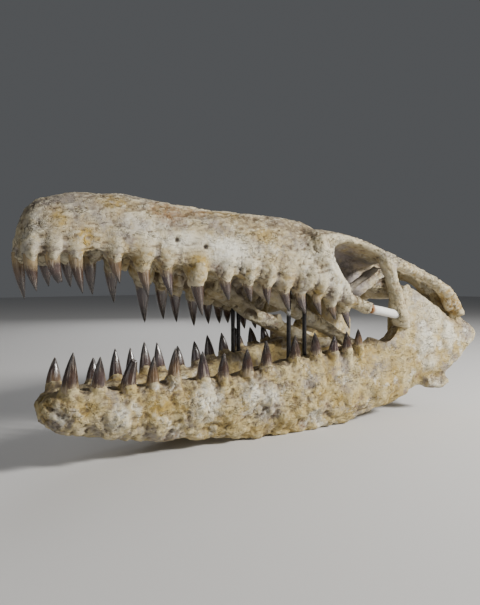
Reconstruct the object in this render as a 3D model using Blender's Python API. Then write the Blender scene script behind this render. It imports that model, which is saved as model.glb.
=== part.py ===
"""Fossil mosasaur skull with open jaws, lying on its lower jaws. Metres, +Z up, snout towards -X.

The shapes are laid out in millimetres on a skull axis: x runs from the snout back, y to the animal's
right, z up from the ground. The last step turns them to metres and centres the skull over the origin.
"""

import math

import bmesh
import bpy
import numpy as np
from mathutils import Matrix, Vector

MM = 0.001
GAP = 0.35
LEFT, RIGHT = -1, 1

# Half width of the skull at the gum line, and its profile seen from the side, as (x, value).
HALF_WIDTH = ((-401, 8), (-395, 16), (-387, 22), (-365, 27), (-300, 34), (-250, 39), (-200, 47), (-150, 57),
              (-100, 67), (-50, 76), (0, 84), (60, 93), (120, 104), (200, 121), (300, 139))
UPPER_GUM = ((-401, 240), (-390, 229), (-340, 234), (-300, 237), (-250, 228), (-200, 220), (-150, 213),
             (-100, 206), (-50, 194), (0, 179), (40, 170))
SNOUT_TOP = ((-401, 252), (-396, 270), (-384, 288), (-365, 300), (-338, 306), (-300, 311), (-250, 312),
             (-200, 311), (-150, 311), (-100, 310), (-50, 313), (-20, 311), (0, 302), (30, 287))
JAW_TOP = ((-379, 80), (-372, 87), (-350, 91), (-319, 88), (-285, 86), (-255, 86), (-228, 91), (-190, 86),
           (-163, 86), (-129, 90), (-101, 95), (-56, 102), (-23, 106), (20, 107), (54, 114), (70, 116),
           (89, 114), (101, 124), (119, 146), (150, 150))
JAW_BOTTOM = ((-379, 64), (-376, 56), (-367, 48), (-352, 42), (-323, 34), (-290, 30), (-262, 20), (-213, 15),
              (-178, 9), (-136, 4), (-100, -2), (50, -2), (64, 6), (88, 14), (114, 16), (138, 22), (167, 29),
              (201, 34), (240, 38))
# Half width of the chin, which is narrower than the snout above it.
CHIN = ((-379, 8), (-374, 15), (-365, 22), (-350, 27), (-320, 32), (-285, 36), (-250, 40), (0, 200))

# The snout is crushed askew: its right side hangs lower than its left, most in the middle of its length.
SKEW = math.tan(math.radians(13))
SKEW_AMOUNT = ((-385, 0), (-330, 0.25), (-250, 1), (-50, 1), (90, 0))

# The jaw corner, as (x, top, bottom, thickness).
JAW_CORNER = ((112, 206, 16, 30), (146, 202, 24, 38), (172, 199, 30, 44), (205, 179, 35, 46),
              (240, 160, 42, 44), (262, 155, 60, 40), (280, 148, 78, 30), (297, 136, 98, 22),
              (306, 127, 112, 12))
# Below this line, as (x, z), the jaw corner is lower jaw, and above it quadrate or cheek. The cheek is
# cut back to it behind CHEEK_CUT_FROM, and the lower jaw behind JAW_CUT_FROM.
JAW_SEAM = ((60, 152), (310, 96))
CHEEK_CUT_FROM = 104
JAW_CUT_FROM = 90
QUADRATE_FRONT = 147
SQUAMOSAL_SEAT = 150
# The opening between temporal arch and quadrate, which the cranium is cut back to.
QUADRATE_ROOM = ((QUADRATE_FRONT, 60), (QUADRATE_FRONT, 207), (180, 204), (212, 188), (250, 160),
                 (258, SQUAMOSAL_SEAT), (330, SQUAMOSAL_SEAT), (330, 60))
CHEEK_INSIDE = 63
# Where the bodies that cut end, past every side of the skull.
FRONT_END, REAR_END, SIDE_END, TOP_END, LOW_END = -420, 340, 200, 260, -40
# Where the squamosal seat is cut flat on the quadrate, from here back.
SEAT_FROM = 242

# Teeth as (x, length, lean backwards, base radius). A short one is broken off.
UPPER_LEFT = ((-387, 33, 5, 6.5), (-366, 25, 6, 7), (-342, 40, 6, 7), (-300, 32, 5, 7.5), (-266, 41, 5, 8),
              (-238, 36, 7, 7.5), (-199, 54, 7, 9), (-161, 31, 5, 8), (-129, 29, 4, 7), (-101, 29, 1, 7),
              (-74, 33, 8, 7.5), (-49, 31, 8, 7.5), (-23, 26, 7, 6.5), (1, 27, 8, 6.5), (26, 35, 9, 6.5))
UPPER_RIGHT = ((-391, 43, 7, 6), (-360, 30, 5, 7), (-334, 32, 5, 7), (-306, 40, 5, 7.5), (-277, 42, 5, 7.5),
               (-231, 55, 5, 9), (-200, 45, 5, 8), (-176, 45, 5, 8), (-142, 45, 5, 8), (-112, 37, 5, 7.5),
               (-88, 31, 5, 7.5), (-68, 25, 4, 7), (-30, 28, 7, 7), (-2, 27, 8, 6.5), (24, 31, 9, 6.5))
LOWER_LEFT = ((-350, 41, 3, 8.5), (-319, 37, 1, 8), (-285, 31, 6, 8.5), (-255, 34, 0, 7.5), (-228, 37, 0, 8),
              (-190, 36, -3, 8.5), (-163, 32, -1, 8), (-129, 31, -3, 8), (-101, 35, -3, 8), (-56, 33, -3, 8),
              (-23, 31, -6, 8), (7, 24, -2, 7.5), (32, 26, -5, 7.5), (54, 24, -5, 6.5))
LOWER_RIGHT = ((-352, 31, 3, 8), (-303, 29, 2, 8), (-272, 38, 1, 8), (-249, 36, 0, 7.5), (-227, 38, 0, 8),
               (-204, 38, -2, 8), (-168, 32, -1, 8), (-134, 32, -2, 8), (-107, 34, -2, 8), (-76, 30, -2, 8),
               (-40, 30, -5, 8), (-4, 26, -3, 7.5), (28, 26, -5, 7.5), (52, 24, -5, 6.5))
TOOTH_SIDES = 6
# How far inside the gum line the tooth rows stand, as (x, value).
TOOTH_INSET = ((-401, 8), (-60, 8), (0, 4))

CHEEK_ROD = ((68, 97, 166.5), (138, 106, 153.5))
CHEEK_ROD_RADIUS = 6.5
SUPPORT_RADIUS = 3
SUPPORTS = (("left_front_support", -56, -55, 84, 212), ("left_rear_support", -26, -56, 90, 206),
            ("right_front_support", -63, 57, 84, 188), ("right_rear_support", -52, 57, 85, 186))

VOXEL = 5
CRANIUM_FACES = 2800
JAW_FACES = 1020
QUADRATE_FACES = 300

BONE = ((0.62, 0.53, 0.38), 0.78, 0.0)
JAW_BONE = ((0.58, 0.49, 0.34), 0.82, 0.0)
MATRIX = ((0.66, 0.60, 0.48), 0.88, 0.0)
PLASTER = ((0.84, 0.82, 0.77), 0.65, 0.0)
STEEL = ((0.02, 0.02, 0.022), 0.40, 0.6)


def at(table, x):
    """The value of a profile at x."""
    return float(np.interp(x, [row[0] for row in table], [row[1] for row in table]))


def settled(point):
    """A point of the cranium after the crushing that lowered the right side of the snout."""
    x, y, z = point
    amount = SKEW * at(SKEW_AMOUNT, x)
    return Vector((x, y, z - amount * (y + at(HALF_WIDTH, x))))


def loft(rings):
    """A closed body through rings of equally many points."""
    mesh = bmesh.new()
    made = [[mesh.verts.new(point) for point in ring] for ring in rings]
    count = len(rings[0])
    for lower, upper in zip(made, made[1:]):
        for i in range(count):
            j = (i + 1) % count
            mesh.faces.new((lower[i], lower[j], upper[j], upper[i]))
    mesh.faces.new(made[0])
    mesh.faces.new(list(reversed(made[-1])))
    bmesh.ops.recalc_face_normals(mesh, faces=mesh.faces)
    return mesh


def tube(points, radii, sides=10):
    """A round bar through points, with a radius at each."""
    points = [Vector(point) for point in points]
    rings = []
    for i, centre in enumerate(points):
        along = (points[min(i + 1, len(points) - 1)] - points[max(i - 1, 0)]).normalized()
        side = along.cross(Vector((0, 0, 1)) if abs(along.z) < 0.9 else Vector((1, 0, 0))).normalized()
        up = side.cross(along)
        turn = [2 * math.pi * k / sides for k in range(sides)]
        rings.append([centre + radii[i] * (side * math.cos(a) + up * math.sin(a)) for a in turn])
    return loft(rings)


def lump(centre, radii):
    """An ellipsoid."""
    mesh = bmesh.new()
    bmesh.ops.create_uvsphere(mesh, u_segments=14, v_segments=9, radius=1)
    shape = Matrix.LocRotScale(Vector(centre), None, Vector(radii))
    bmesh.ops.transform(mesh, matrix=shape, verts=mesh.verts)
    return mesh


def prism(outline, y_from, y_to):
    """A body with the outline (x, z), between two values of y."""
    return loft([[(x, y, z) for x, z in outline] for y in (y_from, y_to)])


def block(x_span, y_span, z_span):
    """A plain box between two values of x, y and z."""
    (x0, x1), (z0, z1) = x_span, z_span
    return prism(((x0, z0), (x1, z0), (x1, z1), (x0, z1)), *y_span)


def mesh_object(name, bodies):
    """One object holding the given bodies."""
    data = bpy.data.meshes.new(name)
    whole = bmesh.new()
    for body in bodies:
        part = bpy.data.meshes.new("body")
        body.to_mesh(part)
        body.free()
        whole.from_mesh(part)
        bpy.data.meshes.remove(part)
    whole.to_mesh(data)
    whole.free()
    made = bpy.data.objects.new(name, data)
    bpy.context.scene.collection.objects.link(made)
    return made


def freeze(obj):
    """Replaces an object's mesh by what its modifiers make of it."""
    graph = bpy.context.evaluated_depsgraph_get()
    data = bpy.data.meshes.new_from_object(obj.evaluated_get(graph))
    obj.modifiers.clear()
    obj.data = data
    return obj


def grow_together(obj, faces):
    """Melts an object's overlapping bodies into one skin with about the given number of triangles."""
    remesh = obj.modifiers.new("melt", "REMESH")
    remesh.mode = "VOXEL"
    remesh.voxel_size = VOXEL
    smooth = obj.modifiers.new("smooth", "SMOOTH")
    smooth.iterations = 3
    freeze(obj)
    triangles = sum(len(face.vertices) - 2 for face in obj.data.polygons)
    thin = obj.modifiers.new("thin", "DECIMATE")
    thin.ratio = faces / triangles
    return freeze(obj)


def combine(obj, other, operation):
    """Joins another object to obj, or cuts it away, and removes it."""
    boolean = obj.modifiers.new(operation, "BOOLEAN")
    boolean.operation = operation
    boolean.solver = "EXACT"
    boolean.use_self = operation == "UNION"
    boolean.object = other
    freeze(obj)
    bpy.data.objects.remove(other)
    return obj


def cut(obj, bodies):
    return combine(obj, mesh_object("cutter", bodies), "DIFFERENCE")


def snout():
    """Premaxilla, maxillae and prefrontals: an arch over a hollow palate."""
    section = ((0.0, 0.26), (0.55, 0.20), (0.80, 0.03), (0.97, 0.0), (1.05, 0.16), (1.04, 0.40), (0.92, 0.66),
               (0.62, 0.88), (0.26, 0.98), (0.0, 1.0))
    around = section + tuple((-y, z) for y, z in section[-2:0:-1])
    rings = []
    for x in (-401, -397, -388, -375, -350, -320, -290, -250, -210, -170, -130, -90, -50, -15, 12):
        low, high, width = at(UPPER_GUM, x), at(SNOUT_TOP, x), at(HALF_WIDTH, x)
        rings.append([(x, y * width, low + z * (high - low)) for y, z in around])
    return loft(rings)


def skull_roof():
    """Frontal and parietal: a plate that narrows between the upper temporal openings."""
    plan = ((-30, 80, 291, 34), (0, 87, 287, 24), (30, 84, 285, 20), (60, 87, 281, 18), (86, 94, 273, 18),
            (108, 101, 263, 19), (124, 102, 256, 18), (140, 56, 254, 20), (158, 34, 249, 24),
            (188, 26, 242, 26), (215, 34, 236, 24))
    rings = []
    for x, width, top, thick in plan:
        edge = top - 0.08 * width
        rings.append([(x, 0, top - thick), (x, -0.6 * width, edge - thick), (x, -width, edge - 0.8 * thick),
                      (x, -width, edge - 0.3 * thick), (x, -0.8 * width, edge), (x, 0, top),
                      (x, 0.8 * width, edge), (x, width, edge - 0.3 * thick), (x, width, edge - 0.8 * thick),
                      (x, 0.6 * width, edge - thick)])
    return loft(rings)


def braincase():
    """Braincase wall between roof and palate, with the occipital condyle behind."""
    rings = []
    plan = ((-24, 27, 226, 272), (20, 29, 204, 268), (70, 31, 186, 262), (118, 32, 177, 254),
            (138, 27, 190, 248), (160, 22, 196, 242), (205, 26, 184, 236), (226, 32, 172, 234),
            (238, 26, 176, 230))
    for x, width, low, high in plan:
        rings.append([(x, -width, low + 8), (x, -0.5 * width, low), (x, 0.5 * width, low),
                      (x, width, low + 8), (x, 0.9 * width, high), (x, -0.9 * width, high)])
    return [loft(rings), lump((242, 0, 184), (14, 17, 13))]


def face_bars(side):
    """The bars on one side: maxilla end, orbit rear, temporal arch, occipital arms, palate and brace."""
    return [
        tube([(-40, side * 72, 211), (0, side * 80, 194), (30, side * 86, 182), (56, side * 92, 172),
              (80, side * 98, 164.5)], (20, 15, 12, 10, 8.5)),
        tube([(-28, side * 77, 266), (-16, side * 80, 236), (6, side * 83, 208), (28, side * 87, 189)],
             (14, 14, 13, 11)),
        tube([(106, side * 95, 240), (116, side * 99, 215), (124, side * 102, 186), (134, side * 105, 152),
              (136, side * 106, 132)], (13, 11, 12, 15, 15)),
        tube([(98, side * 92, 243), (125, side * 97, 236), (150, side * 102, 228), (172, side * 107, 220),
              (192, side * 111, 212), (216, side * 116, 201), (240, side * 120, 187), (256, side * 123, 171),
              (265, side * 125, 157), (266, side * 126, 138)],
             (12, 11, 9.5, 9, 9.5, 11, 12.5, 13.5, 14, 14)),
        tube([(205, side * 20, 228), (232, side * 62, 212), (256, side * 112, 180)], (14, 12, 13)),
        tube([(222, side * 20, 190), (242, side * 58, 178), (258, side * 108, 164)], (15, 12, 12)),
        tube([(-120, side * 34, 224), (-80, side * 36, 204), (-40, side * 38, 180), (10, side * 40, 154),
              (50, side * 42, 132), (90, side * 45, 108), (135, side * 49, 98), (190, side * 56, 102)],
             (14, 13, 12, 11.5, 11, 10.5, 10, 9)),
        tube([(110, side * 26, 174), (160, side * 32, 204), (205, side * 34, 228)], (9, 8, 9)),
        lump((137, side * 106, 155), (12, 11, 13)),
    ]


def jaw_corner(side):
    """The swollen mass of quadrate, rear lower jaw and matrix, as one body."""
    rings = []
    for x, top, bottom, thick in JAW_CORNER:
        outer, inner = at(HALF_WIDTH, x) + 2, at(HALF_WIDTH, x) - thick
        soft = 0.22 * (top - bottom)
        rings.append([(x, side * y, z) for y, z in (
            (outer, bottom + soft), (outer + 3, 0.5 * (top + bottom)), (outer, top - soft),
            (outer - 0.3 * thick, top - 2), (inner + 0.3 * thick, top), (inner, top - soft),
            (inner, bottom + soft), (0.5 * (inner + outer), bottom))])
    return loft(rings)


def jaw_bone(side):
    """One lower jaw from the chin to the coronoid hump."""
    rings = []
    for x in (-379, -376, -367, -350, -320, -285, -250, -210, -170, -130, -90, -50, -10, 30, 62, 90,
              108, 122, 160):
        top, bottom, outer = at(JAW_TOP, x), at(JAW_BOTTOM, x), min(at(HALF_WIDTH, x), at(CHIN, x))
        thick = 34 + 0.03 * max(x, 0)
        inner = max(outer - thick, -4)
        tall = top - bottom
        rings.append([(x, side * y, z) for y, z in (
            (outer - 4, bottom + 0.04 * tall), (outer + 1, bottom + 0.28 * tall),
            (outer + 4, bottom + 0.55 * tall), (outer + 2, top - 0.16 * tall), (outer - 5, top),
            (inner + 5, top), (inner, top - 0.3 * tall), (inner + 2, bottom + 0.2 * tall),
            (0.5 * (inner + outer), bottom - 3))])
    return loft(rings)


def jaw_lumps(side):
    """Crusts of matrix that stand out of the lower jaw's outer face."""
    lumps = ((-345, 62, 15, 14), (-300, 52, 18, 14), (-248, 45, 22, 20), (-205, 44, 18, 18),
             (-150, 42, 26, 22), (-96, 50, 20, 18), (-70, 26, 24, 14), (-20, 40, 26, 20),
             (40, 40, 26, 22), (100, 46, 26, 24))
    made = [lump((x, side * (at(HALF_WIDTH, x) - 3), z), (long, 10, tall)) for x, z, long, tall in lumps]
    made.append(tube([(196, side * 112, 42), (222, side * 122, 42), (241, side * 129, 45)], (9, 9, 7)))
    return made


def tooth(base, length, lean, radius, up, outward):
    """One curved tooth on its swollen root. up is 1 in the lower jaw and -1 in the upper."""
    levels = ((-12, 0.95, 0.0), (0, 1.15, 0.0), (0.55 * length, 0.68, 0.42))
    rings = []
    for height, width, travel in levels:
        centre = Vector((base[0] + lean * travel, base[1] + outward * 3 * travel, base[2] + up * height))
        turn = [2 * math.pi * k / TOOTH_SIDES for k in range(TOOTH_SIDES)]
        rings.append([centre + Vector((radius * width * math.cos(a), 0.9 * radius * width * math.sin(a), 0))
                      for a in turn])
    body = loft(rings)
    tip = body.verts.new((base[0] + lean, base[1] + outward * 3, base[2] + up * length))
    body.verts.ensure_lookup_table()
    last = max(body.faces, key=lambda face: up * face.calc_center_median().z)
    rim = list(last.verts)
    body.faces.remove(last)
    for first, second in zip(rim, rim[1:] + rim[:1]):
        body.faces.new((first, second, tip))
    bmesh.ops.recalc_face_normals(body, faces=body.faces)
    return body


def upper_teeth(rows, side):
    made = []
    for x, length, lean, radius in rows:
        base = settled((x, side * (at(HALF_WIDTH, x) - at(TOOTH_INSET, x)), at(UPPER_GUM, x)))
        made.append(tooth(base, length, lean, radius, -1, side))
    return made


def lower_teeth(rows, side):
    made = []
    for x, length, lean, radius in rows:
        base = Vector((x, side * (at(HALF_WIDTH, x) - at(TOOTH_INSET, x)), at(JAW_TOP, x)))
        made.append(tooth(base, length, lean, radius, 1, side))
    return made


def rod_between(start, end, radius, sides=12, spare=0.0):
    """A straight round rod, longer at both ends by spare."""
    start, end = Vector(start), Vector(end)
    along = (end - start).normalized() * spare
    return tube([start - along, end + along], (radius, radius), sides)


def cheek_rod(side, radius, spare):
    (x0, y0, z0), (x1, y1, z1) = CHEEK_ROD
    return rod_between((x0, side * y0, z0), (x1, side * y1, z1), radius, 12, spare)


def support_rod(row, radius, spare):
    x, y, low, high = row[1:]
    return rod_between((x, y, low), (x, y, high), radius, 10, spare)


def seam_height(x):
    """The height of the seam between lower jaw and cheek at x."""
    (x0, z0), (x1, z1) = JAW_SEAM
    return z0 + (x - x0) * (z1 - z0) / (x1 - x0)


def below_seam(side):
    """Everything on one side that lies under the seam, with half the gap."""
    front, rear = seam_height(CHEEK_CUT_FROM) + GAP / 2, seam_height(REAR_END) + GAP / 2
    return prism(((CHEEK_CUT_FROM, LOW_END), (CHEEK_CUT_FROM, front), (REAR_END, rear), (REAR_END, LOW_END)),
                 side * CHEEK_INSIDE, side * SIDE_END)


def above_seam():
    """Everything over the same seam, with the other half of the gap."""
    front, rear = seam_height(JAW_CUT_FROM) - GAP / 2, seam_height(REAR_END) - GAP / 2
    return prism(((JAW_CUT_FROM, TOP_END), (JAW_CUT_FROM, front), (REAR_END, rear), (REAR_END, TOP_END)),
                 -SIDE_END, SIDE_END)


def make_cranium():
    bodies = [snout(), skull_roof(), *braincase()]
    for side in (LEFT, RIGHT):
        bodies += face_bars(side)
    for body in bodies:
        for vert in body.verts:
            vert.co = settled(vert.co)
    obj = grow_together(mesh_object("cranium", bodies), CRANIUM_FACES)
    nares = [lump(settled((-165, side * 20, 306)), (62, 8, 20)) for side in (LEFT, RIGHT)]
    cut(obj, nares)
    for side in (LEFT, RIGHT):
        cut(obj, [prism(QUADRATE_ROOM, side * CHEEK_INSIDE, side * SIDE_END)])
        cut(obj, [below_seam(side)])
    teeth = upper_teeth(UPPER_LEFT, LEFT) + upper_teeth(UPPER_RIGHT, RIGHT)
    combine(obj, mesh_object("teeth", teeth), "UNION")
    sockets = [cheek_rod(side, CHEEK_ROD_RADIUS + GAP, GAP) for side in (LEFT, RIGHT)]
    sockets += [support_rod(row, SUPPORT_RADIUS + GAP, GAP) for row in SUPPORTS]
    return cut(obj, sockets)


def make_jaw(name, side, teeth):
    obj = mesh_object(name, [jaw_bone(side), jaw_corner(side), *jaw_lumps(side)])
    grow_together(obj, JAW_FACES)
    cut(obj, [above_seam()])
    cut(obj, [block((FRONT_END, REAR_END), (-SIDE_END, SIDE_END), (LOW_END, 0))])
    cut(obj, [block((FRONT_END, REAR_END), (-side * SIDE_END, side * GAP / 2), (LOW_END, TOP_END))])
    combine(obj, mesh_object("teeth", lower_teeth(teeth, side)), "UNION")
    return cut(obj, [support_rod(row, SUPPORT_RADIUS + GAP, GAP) for row in SUPPORTS if row[2] * side > 0])


def make_quadrate(name, side):
    obj = grow_together(mesh_object(name, [jaw_corner(side)]), QUADRATE_FACES)
    cut(obj, [block((FRONT_END, QUADRATE_FRONT + GAP), (-SIDE_END, SIDE_END), (LOW_END, TOP_END))])
    cut(obj, [below_seam(side)])
    return cut(obj, [block((SEAT_FROM, REAR_END), (-SIDE_END, SIDE_END), (SQUAMOSAL_SEAT - GAP, TOP_END))])


def material(name, look):
    """A plain Principled material."""
    colour, roughness, metallic = look
    made = bpy.data.materials.new(name)
    made.use_nodes = True
    shader = made.node_tree.nodes["Principled BSDF"]
    shader.inputs["Base Color"].default_value = (*colour, 1)
    shader.inputs["Roughness"].default_value = roughness
    shader.inputs["Metallic"].default_value = metallic
    return made


def finish(parts):
    """Centres the skull over the origin, in metres, and gives each piece its material."""
    corners = [obj.matrix_world @ Vector(corner) for obj, look in parts for corner in obj.bound_box]
    middle = [0.5 * (min(c[k] for c in corners) + max(c[k] for c in corners)) for k in (0, 1)]
    lowest = min(corner.z for corner in corners)
    shift = Matrix.Translation(Vector((-middle[0], -middle[1], -lowest)))
    for obj, look in parts:
        obj.data.transform(Matrix.Scale(MM, 4) @ shift)
        obj.data.shade_smooth()
        obj.data.set_sharp_from_angle(angle=math.radians(50))
        obj.data.materials.clear()
        obj.data.materials.append(material(obj.name + "_finish", look))


def main():
    for obj in list(bpy.data.objects):
        bpy.data.objects.remove(obj)
    parts = [(make_cranium(), BONE)]
    parts.append((make_jaw("left_mandible", LEFT, LOWER_LEFT), JAW_BONE))
    parts.append((make_jaw("right_mandible", RIGHT, LOWER_RIGHT), JAW_BONE))
    parts.append((make_quadrate("left_quadrate", LEFT), MATRIX))
    parts.append((make_quadrate("right_quadrate", RIGHT), MATRIX))
    for name, side in (("left_cheek_rod", LEFT), ("right_cheek_rod", RIGHT)):
        parts.append((mesh_object(name, [cheek_rod(side, CHEEK_ROD_RADIUS, 0)]), PLASTER))
    for row in SUPPORTS:
        parts.append((mesh_object(row[0], [support_rod(row, SUPPORT_RADIUS, 0)]), STEEL))
    finish(parts)


main()
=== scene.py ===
"""Looks of a fossil mosasaur skull with open jaws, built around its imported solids.

Places on the skull are in millimetres on its own axes: x from the snout back, y to the animal's right,
z up from the ground. SkullAxes turns them to the frame's metres.
"""

from __future__ import annotations

import logging
import math
import random
from collections.abc import Iterator
from contextlib import contextmanager
from dataclasses import dataclass, field
from enum import Enum
from typing import Union

import bpy
import numpy as np
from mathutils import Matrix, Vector, noise


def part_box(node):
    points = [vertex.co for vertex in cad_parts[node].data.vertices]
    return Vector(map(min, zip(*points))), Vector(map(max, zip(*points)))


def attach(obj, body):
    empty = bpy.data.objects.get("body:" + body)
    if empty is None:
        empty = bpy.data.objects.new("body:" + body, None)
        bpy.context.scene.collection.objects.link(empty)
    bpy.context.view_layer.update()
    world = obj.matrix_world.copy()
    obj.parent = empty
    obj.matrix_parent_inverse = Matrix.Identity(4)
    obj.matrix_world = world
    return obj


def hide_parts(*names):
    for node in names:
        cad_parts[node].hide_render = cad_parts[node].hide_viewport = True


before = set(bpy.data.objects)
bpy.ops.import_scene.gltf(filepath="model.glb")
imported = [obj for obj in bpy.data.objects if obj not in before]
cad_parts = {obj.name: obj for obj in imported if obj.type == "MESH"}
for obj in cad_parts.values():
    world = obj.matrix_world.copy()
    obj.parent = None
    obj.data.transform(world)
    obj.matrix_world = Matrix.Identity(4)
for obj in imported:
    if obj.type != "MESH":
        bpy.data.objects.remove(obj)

LOG = logging.getLogger("skull")
MM = 0.001

Profile = tuple[tuple[float, float], ...]
Triple = tuple[float, float, float]
Colour = Triple
Lump = tuple[float, float, float, Triple]
Piece = bpy.types.Object
Node = bpy.types.Node
Socket = bpy.types.NodeSocket
Source = Union[Socket, tuple, float]

HALF_WIDTH: Profile = (
    (-401, 8), (-395, 16), (-387, 22), (-365, 27), (-300, 34), (-250, 39), (-200, 47), (-150, 57),
    (-100, 67), (-50, 76), (0, 84), (60, 93), (120, 104), (200, 121), (300, 139))
UPPER_GUM: Profile = (
    (-401, 240), (-390, 229), (-340, 234), (-300, 237), (-250, 228), (-200, 220), (-150, 213),
    (-100, 206), (-50, 194), (0, 179), (40, 170))
JAW_TOP: Profile = (
    (-379, 80), (-372, 87), (-350, 91), (-319, 88), (-285, 86), (-255, 86), (-228, 91), (-190, 86),
    (-163, 86), (-129, 90), (-101, 95), (-56, 102), (-23, 106), (20, 107), (54, 114), (70, 116),
    (89, 114), (101, 124), (119, 146), (150, 150))
SKEW = math.tan(math.radians(13))
SKEW_AMOUNT: Profile = ((-385, 0), (-330, 0.25), (-250, 1), (-50, 1), (90, 0))
TOOTH_INSET: Profile = ((-401, 8), (-60, 8), (0, 4))
SUPPORT_AXIS = (-56.0, -55.0)
SNOUT_END = -399.0
LEAN_POWER = 1.45

# The right cheek rod's ends, where its glue ends, the white fitting on a support, painted as bright as its
# glint, and each support's x, y, foot and head
CHEEK_ROD = ((68, 97, 166.5), (138, 106, 153.5))
GLUE_FRONT = 74.0
JOINT_HEIGHT = 166.0
JOINT_HALF = 3.0
SUPPORTS = (
    ("left_front_support", -56, -55, 84, 212), ("left_rear_support", -26, -56, 90, 206),
    ("right_front_support", -63, 57, 84, 188), ("right_rear_support", -52, 57, 85, 186))


class Side(Enum):
    """The animal's two sides, as the sign of y."""

    LEFT = -1
    RIGHT = 1


class Jaw(Enum):
    """Upper or lower, as the direction in z that its teeth point."""

    UPPER = -1
    LOWER = 1


def at(profile: Profile, x: float) -> float:
    """The value of a profile, which is pairs of x and value in order of x, at one x."""
    return float(np.interp(x, [row[0] for row in profile], [row[1] for row in profile]))


def settled(point: Vector) -> Vector:
    """A place on the uncrushed cranium, in millimetres, moved as the crushing of the snout did."""
    drop = SKEW * at(SKEW_AMOUNT, point.x) * (point.y + at(HALF_WIDTH, point.x))
    return Vector((point.x, point.y, point.z - drop))


@dataclass(frozen=True)
class SkullAxes:
    """Turns places on the skull's axes to the frame's metres."""

    shift: Vector

    @classmethod
    def from_frame(cls) -> "SkullAxes":
        """Finds the shift from the left front support, whose axis is known.

        Returns:
            The axes.
        """
        low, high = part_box("left_front_support")
        middle = (low + high) / 2
        return cls(Vector((middle.x - SUPPORT_AXIS[0] * MM, middle.y - SUPPORT_AXIS[1] * MM, 0)))

    def place(self, point: Vector | Triple) -> Vector:
        """The frame's place, in metres, of a point in millimetres."""
        return Vector(point) * MM + self.shift

    def read(self, places: np.ndarray) -> np.ndarray:
        """The places in millimetres of points in the frame's metres."""
        return (places - np.array(self.shift)) / MM


AXES = SkullAxes.from_frame()


# Modelling helpers

def focus(*pieces: Piece) -> None:
    """Selects some objects alone.

    Args:
        pieces: The objects, of which the first becomes active.
    """
    bpy.ops.object.select_all(action="DESELECT")
    for piece in pieces:
        piece.select_set(True)
    bpy.context.view_layer.objects.active = pieces[0]


def apply_transform(piece: Piece) -> None:
    """Moves an object's place and turn into its mesh."""
    focus(piece)
    bpy.ops.object.transform_apply(location=True, rotation=True, scale=True)


def join(name: str, pieces: list[Piece]) -> Piece:
    """Joins objects into the first one.

    Args:
        name: The joined object's name.
        pieces: The objects, of which the first stays.

    Returns:
        The joined object.
    """
    focus(*pieces)
    bpy.ops.object.join()
    pieces[0].name = name
    pieces[0].data.name = name
    return pieces[0]


def apply_modifier(piece: Piece, kind: str, **settings: object) -> None:
    """Adds a modifier and applies it.

    Args:
        piece: The object.
        kind: Blender's name of the modifier type.
        settings: Values set on the modifier first.
    """
    focus(piece)
    modifier = piece.modifiers.new(kind.lower(), kind)
    for key, value in settings.items():
        setattr(modifier, key, value)
    bpy.ops.object.modifier_apply(modifier=modifier.name)


@contextmanager
def editing(piece: Piece) -> Iterator[None]:
    """Opens a mesh in edit mode, with all of it selected, and closes it afterwards.

    Args:
        piece: The object.

    Yields:
        Nothing, while the mesh is open.
    """
    focus(piece)
    bpy.ops.object.mode_set(mode="EDIT")
    bpy.ops.mesh.select_all(action="SELECT")
    yield
    bpy.ops.object.mode_set(mode="OBJECT")


def add_object(name: str, data: bpy.types.ID) -> Piece:
    """Adds an object to the scene.

    Args:
        name: Its name.
        data: Its mesh, light or camera.

    Returns:
        The object.
    """
    made = bpy.data.objects.new(name, data)
    bpy.context.scene.collection.objects.link(made)
    return made


def node_copy(node: str, name: str) -> Piece:
    """Copies a solid of the frame as a closed mesh to work on.

    Args:
        node: The solid's name.
        name: The copy's name.

    Returns:
        The copy, with its doubles merged.
    """
    piece = add_object(name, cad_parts[node].data.copy())
    piece.data.materials.clear()
    with editing(piece):
        bpy.ops.mesh.remove_doubles(threshold=1e-5)
    return piece


def cone_between(
    start: Vector, end: Vector, start_radius: float, end_radius: float, sides: int = 16
) -> Piece:
    """Adds a closed cone or bar between two places.

    Args:
        start: The first end, in millimetres.
        end: The other end.
        start_radius: The radius at the first end, in millimetres.
        end_radius: The radius at the other end.
        sides: How many sides it has round.

    Returns:
        The new object, with its place in its mesh.
    """
    low, high = AXES.place(start), AXES.place(end)
    bpy.ops.object.select_all(action="DESELECT")
    bpy.ops.mesh.primitive_cone_add(
        vertices=sides, radius1=start_radius * MM, radius2=end_radius * MM,
        depth=(high - low).length, location=(low + high) / 2,
        rotation=(high - low).to_track_quat("Z", "Y").to_euler())
    piece = bpy.context.active_object
    apply_transform(piece)
    return piece


def lump_at(centre: Vector, radii: Triple) -> Piece:
    """Adds an ellipsoid.

    Args:
        centre: Its middle, in millimetres.
        radii: Its half sizes along x, y and z, in millimetres.

    Returns:
        The new object, with its place in its mesh.
    """
    bpy.ops.object.select_all(action="DESELECT")
    bpy.ops.mesh.primitive_uv_sphere_add(
        segments=20, ring_count=12, radius=1, location=AXES.place(centre),
        scale=[radius * MM for radius in radii])
    piece = bpy.context.active_object
    apply_transform(piece)
    return piece


def read_points(piece: Piece, normals: bool = False) -> np.ndarray:
    """Reads the places or the normals of a mesh's points.

    Args:
        piece: The object.
        normals: True for the normals, False for the places in metres.

    Returns:
        One row of three numbers for each point.
    """
    mesh = piece.data
    values = np.empty(len(mesh.vertices) * 3, np.float32)
    mesh.vertices.foreach_get("normal" if normals else "co", values)
    return values.reshape(-1, 3).astype(float)


def places_of(piece: Piece) -> np.ndarray:
    """The places of a mesh's points, in millimetres."""
    return AXES.read(read_points(piece))


def write_points(piece: Piece, points: np.ndarray) -> None:
    """Writes the places of a mesh's points, which are given in millimetres."""
    piece.data.vertices.foreach_set("co", (points * MM + np.array(AXES.shift)).astype(np.float32).ravel())
    piece.data.update()


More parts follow.
